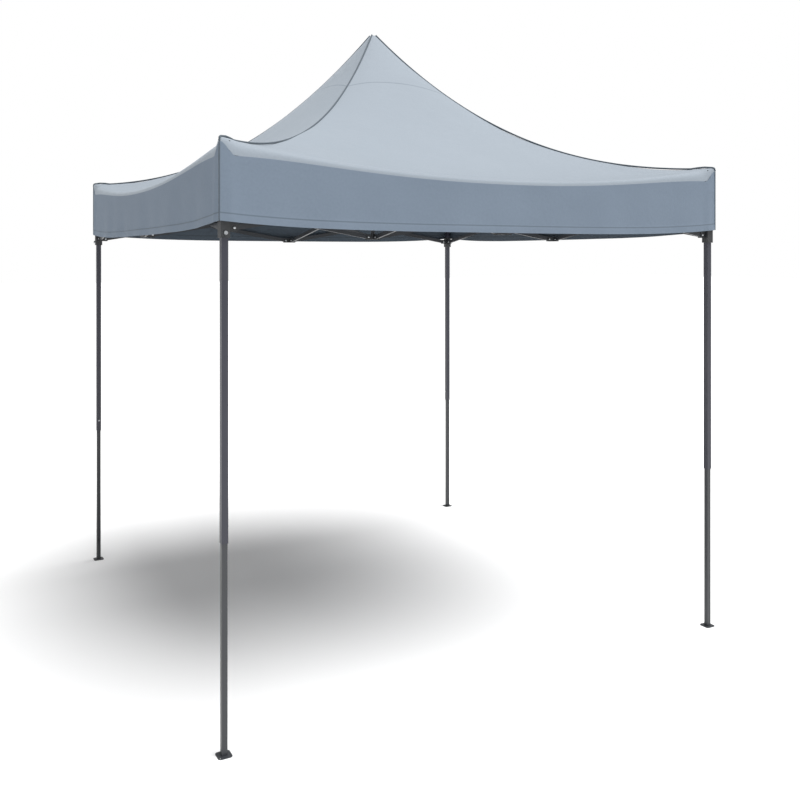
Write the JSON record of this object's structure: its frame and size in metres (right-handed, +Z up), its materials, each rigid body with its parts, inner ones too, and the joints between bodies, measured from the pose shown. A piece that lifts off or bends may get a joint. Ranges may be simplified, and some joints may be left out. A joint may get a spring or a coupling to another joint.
{
  "type": "pop-up canopy tent",
  "caption": "Square pop-up garden canopy with a peaked fabric cover and valance on a folding scissor frame with telescoping square legs.",
  "frame": {"origin": "on the ground, under the peak", "axes": "+Z up; the four sides face along X and Y"},
  "size_m": [2.5042, 2.5042, 3.022],
  "materials": {
    "cover_cloth": "matte",
    "coated_steel": "satin",
    "moulded_nylon": "matte",
    "plated_steel": "satin"
  },
  "bodies": {
    "frame_hub": {"upper_hub": "moulded_nylon", "canopy_cover": "cover_cloth"},
    "centre_truss_front_hub_bar": {"centre_truss_front_hub_bar": "coated_steel"},
    "centre_truss_front_lift_bar": {"centre_truss_front_lift_bar": "coated_steel"},
    "front_lower_joint": {"front_lower_joint": "moulded_nylon"},
    "front_upper_joint": {"front_upper_joint": "moulded_nylon"},
    "lower_hub": {"lower_hub": "moulded_nylon", "centre_pole": "coated_steel"},
    "front_truss_front_left_leg_bar": {"front_truss_front_left_leg_bar": "coated_steel"},
    "front_truss_front_left_slider_bar": {"front_truss_front_left_slider_bar": "coated_steel"},
    "outer_leg_front_left": {"outer_leg_front_left": "coated_steel", "corner_bracket_front_left": "moulded_nylon"},
    "slider_front_left": {"slider_front_left": "moulded_nylon"},
    "lower_leg_front_left": {"lower_leg_front_left": "coated_steel"},
    "lock_pin_front_left": {"lock_pin_front_left": "plated_steel"},
    "height_button_front_left": {"height_button_front_left": "plated_steel"},
    "front_truss_front_right_leg_bar": {"front_truss_front_right_leg_bar": "coated_steel"},
    "front_truss_front_right_slider_bar": {"front_truss_front_right_slider_bar": "coated_steel"},
    "outer_leg_front_right": {"outer_leg_front_right": "coated_steel", "corner_bracket_front_right": "moulded_nylon"},
    "slider_front_right": {"slider_front_right": "moulded_nylon"},
    "lower_leg_front_right": {"lower_leg_front_right": "coated_steel"},
    "lock_pin_front_right": {"lock_pin_front_right": "plated_steel"},
    "height_button_front_right": {"height_button_front_right": "plated_steel"},
    "centre_truss_right_hub_bar": {"centre_truss_right_hub_bar": "coated_steel"},
    "centre_truss_right_lift_bar": {"centre_truss_right_lift_bar": "coated_steel"},
    "right_lower_joint": {"right_lower_joint": "moulded_nylon"},
    "right_upper_joint": {"right_upper_joint": "moulded_nylon"},
    "right_truss_front_right_leg_bar": {"right_truss_front_right_leg_bar": "coated_steel"},
    "right_truss_front_right_slider_bar": {"right_truss_front_right_slider_bar": "coated_steel"},
    "right_truss_back_right_leg_bar": {"right_truss_back_right_leg_bar": "coated_steel"},
    "right_truss_back_right_slider_bar": {"right_truss_back_right_slider_bar": "coated_steel"},
    "centre_truss_back_hub_bar": {"centre_truss_back_hub_bar": "coated_steel"},
    "centre_truss_back_lift_bar": {"centre_truss_back_lift_bar": "coated_steel"},
    "back_lower_joint": {"back_lower_joint": "moulded_nylon"},
    "back_upper_joint": {"back_upper_joint": "moulded_nylon"},
    "back_truss_back_right_leg_bar": {"back_truss_back_right_leg_bar": "coated_steel"},
    "back_truss_back_right_slider_bar": {"back_truss_back_right_slider_bar": "coated_steel"},
    "outer_leg_back_right": {"outer_leg_back_right": "coated_steel", "corner_bracket_back_right": "moulded_nylon"},
    "slider_back_right": {"slider_back_right": "moulded_nylon"},
    "lower_leg_back_right": {"lower_leg_back_right": "coated_steel"},
    "lock_pin_back_right": {"lock_pin_back_right": "plated_steel"},
    "height_button_back_right": {"height_button_back_right": "plated_steel"},
    "back_truss_back_left_leg_bar": {"back_truss_back_left_leg_bar": "coated_steel"},
    "back_truss_back_left_slider_bar": {"back_truss_back_left_slider_bar": "coated_steel"},
    "outer_leg_back_left": {"outer_leg_back_left": "coated_steel", "corner_bracket_back_left": "moulded_nylon"},
    "slider_back_left": {"slider_back_left": "moulded_nylon"},
    "lower_leg_back_left": {"lower_leg_back_left": "coated_steel"},
    "lock_pin_back_left": {"lock_pin_back_left": "plated_steel"},
    "height_button_back_left": {"height_button_back_left": "plated_steel"},
    "centre_truss_left_hub_bar": {"centre_truss_left_hub_bar": "coated_steel"},
    "centre_truss_left_lift_bar": {"centre_truss_left_lift_bar": "coated_steel"},
    "left_lower_joint": {"left_lower_joint": "moulded_nylon"},
    "left_upper_joint": {"left_upper_joint": "moulded_nylon"},
    "left_truss_back_left_leg_bar": {"left_truss_back_left_leg_bar": "coated_steel"},
    "left_truss_back_left_slider_bar": {"left_truss_back_left_slider_bar": "coated_steel"},
    "left_truss_front_left_leg_bar": {"left_truss_front_left_leg_bar": "coated_steel"},
    "left_truss_front_left_slider_bar": {"left_truss_front_left_slider_bar": "coated_steel"}
  },
  "joints": [
    {"name": "fold", "type": "hinge", "parent": "frame_hub", "child": "centre_truss_front_hub_bar", "pos_m": [-0.0065, -0.033, 2.12], "axis": [1, 0, 0], "range_deg": [0, 74], "deforming": ["canopy_cover"]},
    {"name": "centre_truss_front_lift_bar_crossing", "type": "hinge", "parent": "centre_truss_front_hub_bar", "child": "centre_truss_front_lift_bar", "pos_m": [0, -0.613, 2.021], "axis": [1, 0, 0], "range_deg": [-148, 0]},
    {"name": "front_lower_joint_hinge", "type": "hinge", "parent": "centre_truss_front_hub_bar", "child": "front_lower_joint", "pos_m": [-0.0065, -1.193, 1.922], "axis": [1, 0, 0], "range_deg": [-74, 0]},
    {"name": "front_upper_joint_hinge", "type": "hinge", "parent": "centre_truss_front_lift_bar", "child": "front_upper_joint", "pos_m": [0.0065, -1.193, 2.12], "axis": [1, 0, 0], "range_deg": [0, 74]},
    {"name": "lower_hub_hinge", "type": "hinge", "parent": "centre_truss_front_lift_bar", "child": "lower_hub", "pos_m": [0.0065, -0.033, 1.922], "axis": [1, 0, 0], "range_deg": [0, 74]},
    {"name": "front_truss_front_left_leg_bar_hinge", "type": "hinge", "parent": "front_lower_joint", "child": "front_truss_front_left_leg_bar", "pos_m": [-0.027, -1.2345, 1.922], "axis": [0, 1, 0], "range_deg": [0, 74]},
    {"name": "front_truss_front_left_slider_bar_crossing", "type": "hinge", "parent": "front_truss_front_left_leg_bar", "child": "front_truss_front_left_slider_bar", "pos_m": [-0.607, -1.225, 2.021], "axis": [0, 1, 0], "range_deg": [-148, 0]},
    {"name": "outer_leg_front_left_hinge", "type": "hinge", "parent": "front_truss_front_left_leg_bar", "child": "outer_leg_front_left", "pos_m": [-1.187, -1.2345, 2.12], "axis": [0, 1, 0], "range_deg": [-74, 0]},
    {"name": "slider_front_left_hinge", "type": "hinge", "parent": "front_truss_front_left_slider_bar", "child": "slider_front_left", "pos_m": [-1.187, -1.2215, 1.922], "axis": [0, 1, 0], "range_deg": [0, 74]},
    {"name": "leg_height_front_left", "type": "slide", "parent": "outer_leg_front_left", "child": "lower_leg_front_left", "axis": [0, 0, 1], "range_m": [0, 0.72]},
    {"name": "lock_pull_front_left", "type": "slide", "parent": "slider_front_left", "child": "lock_pin_front_left", "axis": [0, -1, 0], "range_m": [0, 0.005], "stiffness_N_per_m": 600, "springref_m": -0.003},
    {"name": "height_button_press_front_left", "type": "slide", "parent": "outer_leg_front_left", "child": "height_button_front_left", "axis": [-1, 0, 0], "range_m": [0, 0.003], "stiffness_N_per_m": 600, "springref_m": -0.003},
    {"name": "front_truss_front_right_leg_bar_hinge", "type": "hinge", "parent": "front_lower_joint", "child": "front_truss_front_right_leg_bar", "pos_m": [0.027, -1.2345, 1.922], "axis": [0, -1, 0], "range_deg": [0, 74]},
    {"name": "front_truss_front_right_slider_bar_crossing", "type": "hinge", "parent": "front_truss_front_right_leg_bar", "child": "front_truss_front_right_slider_bar", "pos_m": [0.607, -1.225, 2.021], "axis": [0, -1, 0], "range_deg": [-148, 0]},
    {"name": "outer_leg_front_right_hinge", "type": "hinge", "parent": "front_truss_front_right_leg_bar", "child": "outer_leg_front_right", "pos_m": [1.187, -1.2345, 2.12], "axis": [0, -1, 0], "range_deg": [-74, 0]},
    {"name": "slider_front_right_hinge", "type": "hinge", "parent": "front_truss_front_right_slider_bar", "child": "slider_front_right", "pos_m": [1.187, -1.2215, 1.922], "axis": [0, -1, 0], "range_deg": [0, 74]},
    {"name": "leg_height_front_right", "type": "slide", "parent": "outer_leg_front_right", "child": "lower_leg_front_right", "axis": [0, 0, 1], "range_m": [0, 0.72]},
    {"name": "lock_pull_front_right", "type": "slide", "parent": "slider_front_right", "child": "lock_pin_front_right", "axis": [1, 0, 0], "range_m": [0, 0.005], "stiffness_N_per_m": 600, "springref_m": -0.003},
    {"name": "height_button_press_front_right", "type": "slide", "parent": "outer_leg_front_right", "child": "height_button_front_right", "axis": [0, -1, 0], "range_m": [0, 0.003], "stiffness_N_per_m": 600, "springref_m": -0.003},
    {"name": "centre_truss_right_hub_bar_hinge", "type": "hinge", "parent": "frame_hub", "child": "centre_truss_right_hub_bar", "pos_m": [0.033, -0.0065, 2.12], "axis": [0, 1, 0], "range_deg": [0, 74]},
    {"name": "centre_truss_right_lift_bar_crossing", "type": "hinge", "parent": "centre_truss_right_hub_bar", "child": "centre_truss_right_lift_bar", "pos_m": [0.613, 0, 2.021], "axis": [0, 1, 0], "range_deg": [-148, 0]},
    {"name": "right_lower_joint_hinge", "type": "hinge", "parent": "centre_truss_right_hub_bar", "child": "right_lower_joint", "pos_m": [1.193, -0.0065, 1.922], "axis": [0, 1, 0], "range_deg": [-74, 0]},
    {"name": "right_upper_joint_hinge", "type": "hinge", "parent": "centre_truss_right_lift_bar", "child": "right_upper_joint", "pos_m": [1.193, 0.0065, 2.12], "axis": [0, 1, 0], "range_deg": [0, 74]},
    {"name": "right_truss_front_right_leg_bar_hinge", "type": "hinge", "parent": "right_lower_joint", "child": "right_truss_front_right_leg_bar", "pos_m": [1.2345, -0.027, 1.922], "axis": [-1, 0, 0], "range_deg": [0, 74]},
    {"name": "right_truss_front_right_slider_bar_crossing", "type": "hinge", "parent": "right_truss_front_right_leg_bar", "child": "right_truss_front_right_slider_bar", "pos_m": [1.225, -0.607, 2.021], "axis": [-1, 0, 0], "range_deg": [-148, 0]},
    {"name": "right_truss_back_right_leg_bar_hinge", "type": "hinge", "parent": "right_lower_joint", "child": "right_truss_back_right_leg_bar", "pos_m": [1.2345, 0.027, 1.922], "axis": [1, 0, 0], "range_deg": [0, 74]},
    {"name": "right_truss_back_right_slider_bar_crossing", "type": "hinge", "parent": "right_truss_back_right_leg_bar", "child": "right_truss_back_right_slider_bar", "pos_m": [1.225, 0.607, 2.021], "axis": [1, 0, 0], "range_deg": [-148, 0]},
    {"name": "centre_truss_back_hub_bar_hinge", "type": "hinge", "parent": "frame_hub", "child": "centre_truss_back_hub_bar", "pos_m": [0.0065, 0.033, 2.12], "axis": [-1, 0, 0], "range_deg": [0, 74]},
    {"name": "centre_truss_back_lift_bar_crossing", "type": "hinge", "parent": "centre_truss_back_hub_bar", "child": "centre_truss_back_lift_bar", "pos_m": [0, 0.613, 2.021], "axis": [-1, 0, 0], "range_deg": [-148, 0]},
    {"name": "back_lower_joint_hinge", "type": "hinge", "parent": "centre_truss_back_hub_bar", "child": "back_lower_joint", "pos_m": [0.0065, 1.193, 1.922], "axis": [-1, 0, 0], "range_deg": [-74, 0]},
    {"name": "back_upper_joint_hinge", "type": "hinge", "parent": "centre_truss_back_lift_bar", "child": "back_upper_joint", "pos_m": [-0.0065, 1.193, 2.12], "axis": [-1, 0, 0], "range_deg": [0, 74]},
    {"name": "back_truss_back_right_leg_bar_hinge", "type": "hinge", "parent": "back_lower_joint", "child": "back_truss_back_right_leg_bar", "pos_m": [0.027, 1.2345, 1.922], "axis": [0, -1, 0], "range_deg": [0, 74]},
    {"name": "back_truss_back_right_slider_bar_crossing", "type": "hinge", "parent": "back_truss_back_right_leg_bar", "child": "back_truss_back_right_slider_bar", "pos_m": [0.607, 1.225, 2.021], "axis": [0, -1, 0], "range_deg": [-148, 0]},
    {"name": "outer_leg_back_right_hinge", "type": "hinge", "parent": "back_truss_back_right_leg_bar", "child": "outer_leg_back_right", "pos_m": [1.187, 1.2345, 2.12], "axis": [0, -1, 0], "range_deg": [-74, 0]},
    {"name": "slider_back_right_hinge", "type": "hinge", "parent": "back_truss_back_right_slider_bar", "child": "slider_back_right", "pos_m": [1.187, 1.2215, 1.922], "axis": [0, -1, 0], "range_deg": [0, 74]},
    {"name": "leg_height_back_right", "type": "slide", "parent": "outer_leg_back_right", "child": "lower_leg_back_right", "axis": [0, 0, 1], "range_m": [0, 0.72]},
    {"name": "lock_pull_back_right", "type": "slide", "parent": "slider_back_right", "child": "lock_pin_back_right", "axis": [0, 1, 0], "range_m": [0, 0.005], "stiffness_N_per_m": 600, "springref_m": -0.003},
    {"name": "height_button_press_back_right", "type": "slide", "parent": "outer_leg_back_right", "child": "height_button_back_right", "axis": [1, 0, 0], "range_m": [0, 0.003], "stiffness_N_per_m": 600, "springref_m": -0.003},
    {"name": "back_truss_back_left_leg_bar_hinge", "type": "hinge", "parent": "back_lower_joint", "child": "back_truss_back_left_leg_bar", "pos_m": [-0.027, 1.2345, 1.922], "axis": [0, 1, 0], "range_deg": [0, 74]},
    {"name": "back_truss_back_left_slider_bar_crossing", "type": "hinge", "parent": "back_truss_back_left_leg_bar", "child": "back_truss_back_left_slider_bar", "pos_m": [-0.607, 1.225, 2.021], "axis": [0, 1, 0], "range_deg": [-148, 0]},
    {"name": "outer_leg_back_left_hinge", "type": "hinge", "parent": "back_truss_back_left_leg_bar", "child": "outer_leg_back_left", "pos_m": [-1.187, 1.2345, 2.12], "axis": [0, 1, 0], "range_deg": [-74, 0]},
    {"name": "slider_back_left_hinge", "type": "hinge", "parent": "back_truss_back_left_slider_bar", "child": "slider_back_left", "pos_m": [-1.187, 1.2215, 1.922], "axis": [0, 1, 0], "range_deg": [0, 74]},
    {"name": "leg_height_back_left", "type": "slide", "parent": "outer_leg_back_left", "child": "lower_leg_back_left", "axis": [0, 0, 1], "range_m": [0, 0.72]},
    {"name": "lock_pull_back_left", "type": "slide", "parent": "slider_back_left", "child": "lock_pin_back_left", "axis": [-1, 0, 0], "range_m": [0, 0.005], "stiffness_N_per_m": 600, "springref_m": -0.003},
    {"name": "height_button_press_back_left", "type": "slide", "parent": "outer_leg_back_left", "child": "height_button_back_left", "axis": [0, 1, 0], "range_m": [0, 0.003], "stiffness_N_per_m": 600, "springref_m": -0.003},
    {"name": "centre_truss_left_hub_bar_hinge", "type": "hinge", "parent": "frame_hub", "child": "centre_truss_left_hub_bar", "pos_m": [-0.033, 0.0065, 2.12], "axis": [0, -1, 0], "range_deg": [0, 74]},
    {"name": "centre_truss_left_lift_bar_crossing", "type": "hinge", "parent": "centre_truss_left_hub_bar", "child": "centre_truss_left_lift_bar", "pos_m": [-0.613, 0, 2.021], "axis": [0, -1, 0], "range_deg": [-148, 0]},
    {"name": "left_lower_joint_hinge", "type": "hinge", "parent": "centre_truss_left_hub_bar", "child": "left_lower_joint", "pos_m": [-1.193, 0.0065, 1.922], "axis": [0, -1, 0], "range_deg": [-74, 0]},
    {"name": "left_upper_joint_hinge", "type": "hinge", "parent": "centre_truss_left_lift_bar", "child": "left_upper_joint", "pos_m": [-1.193, -0.0065, 2.12], "axis": [0, -1, 0], "range_deg": [0, 74]},
    {"name": "left_truss_back_left_leg_bar_hinge", "type": "hinge", "parent": "left_lower_joint", "child": "left_truss_back_left_leg_bar", "pos_m": [-1.2345, 0.027, 1.922], "axis": [1, 0, 0], "range_deg": [0, 74]},
    {"name": "left_truss_back_left_slider_bar_crossing", "type": "hinge", "parent": "left_truss_back_left_leg_bar", "child": "left_truss_back_left_slider_bar", "pos_m": [-1.225, 0.607, 2.021], "axis": [1, 0, 0], "range_deg": [-148, 0]},
    {"name": "left_truss_front_left_leg_bar_hinge", "type": "hinge", "parent": "left_lower_joint", "child": "left_truss_front_left_leg_bar", "pos_m": [-1.2345, -0.027, 1.922], "axis": [-1, 0, 0], "range_deg": [0, 74]},
    {"name": "left_truss_front_left_slider_bar_crossing", "type": "hinge", "parent": "left_truss_front_left_leg_bar", "child": "left_truss_front_left_slider_bar", "pos_m": [-1.225, -0.607, 2.021], "axis": [-1, 0, 0], "range_deg": [-148, 0]}
  ],
  "couplings": [
    {"joint": "centre_truss_front_lift_bar_crossing", "follows": "fold", "ratio": -2},
    {"joint": "front_lower_joint_hinge", "follows": "fold", "ratio": -1},
    {"joint": "front_upper_joint_hinge", "follows": "fold", "ratio": 1},
    {"joint": "lower_hub_hinge", "follows": "fold", "ratio": 1},
    {"joint": "front_truss_front_left_leg_bar_hinge", "follows": "fold", "ratio": 1},
    {"joint": "front_truss_front_left_slider_bar_crossing", "follows": "fold", "ratio": -2},
    {"joint": "outer_leg_front_left_hinge", "follows": "fold", "ratio": -1},
    {"joint": "slider_front_left_hinge", "follows": "fold", "ratio": 1},
    {"joint": "front_truss_front_right_leg_bar_hinge", "follows": "fold", "ratio": 1},
    {"joint": "front_truss_front_right_slider_bar_crossing", "follows": "fold", "ratio": -2},
    {"joint": "outer_leg_front_right_hinge", "follows": "fold", "ratio": -1},
    {"joint": "slider_front_right_hinge", "follows": "fold", "ratio": 1},
    {"joint": "centre_truss_right_hub_bar_hinge", "follows": "fold", "ratio": 1},
    {"joint": "centre_truss_right_lift_bar_crossing", "follows": "fold", "ratio": -2},
    {"joint": "right_lower_joint_hinge", "follows": "fold", "ratio": -1},
    {"joint": "right_upper_joint_hinge", "follows": "fold", "ratio": 1},
    {"joint": "right_truss_front_right_leg_bar_hinge", "follows": "fold", "ratio": 1},
    {"joint": "right_truss_front_right_slider_bar_crossing", "follows": "fold", "ratio": -2},
    {"joint": "right_truss_back_right_leg_bar_hinge", "follows": "fold", "ratio": 1},
    {"joint": "right_truss_back_right_slider_bar_crossing", "follows": "fold", "ratio": -2},
    {"joint": "centre_truss_back_hub_bar_hinge", "follows": "fold", "ratio": 1},
    {"joint": "centre_truss_back_lift_bar_crossing", "follows": "fold", "ratio": -2},
    {"joint": "back_lower_joint_hinge", "follows": "fold", "ratio": -1},
    {"joint": "back_upper_joint_hinge", "follows": "fold", "ratio": 1},
    {"joint": "back_truss_back_right_leg_bar_hinge", "follows": "fold", "ratio": 1},
    {"joint": "back_truss_back_right_slider_bar_crossing", "follows": "fold", "ratio": -2},
    {"joint": "outer_leg_back_right_hinge", "follows": "fold", "ratio": -1},
    {"joint": "slider_back_right_hinge", "follows": "fold", "ratio": 1},
    {"joint": "back_truss_back_left_leg_bar_hinge", "follows": "fold", "ratio": 1},
    {"joint": "back_truss_back_left_slider_bar_crossing", "follows": "fold", "ratio": -2},
    {"joint": "outer_leg_back_left_hinge", "follows": "fold", "ratio": -1},
    {"joint": "slider_back_left_hinge", "follows": "fold", "ratio": 1},
    {"joint": "centre_truss_left_hub_bar_hinge", "follows": "fold", "ratio": 1},
    {"joint": "centre_truss_left_lift_bar_crossing", "follows": "fold", "ratio": -2},
    {"joint": "left_lower_joint_hinge", "follows": "fold", "ratio": -1},
    {"joint": "left_upper_joint_hinge", "follows": "fold", "ratio": 1},
    {"joint": "left_truss_back_left_leg_bar_hinge", "follows": "fold", "ratio": 1},
    {"joint": "left_truss_back_left_slider_bar_crossing", "follows": "fold", "ratio": -2},
    {"joint": "left_truss_front_left_leg_bar_hinge", "follows": "fold", "ratio": 1},
    {"joint": "left_truss_front_left_slider_bar_crossing", "follows": "fold", "ratio": -2}
  ]
}
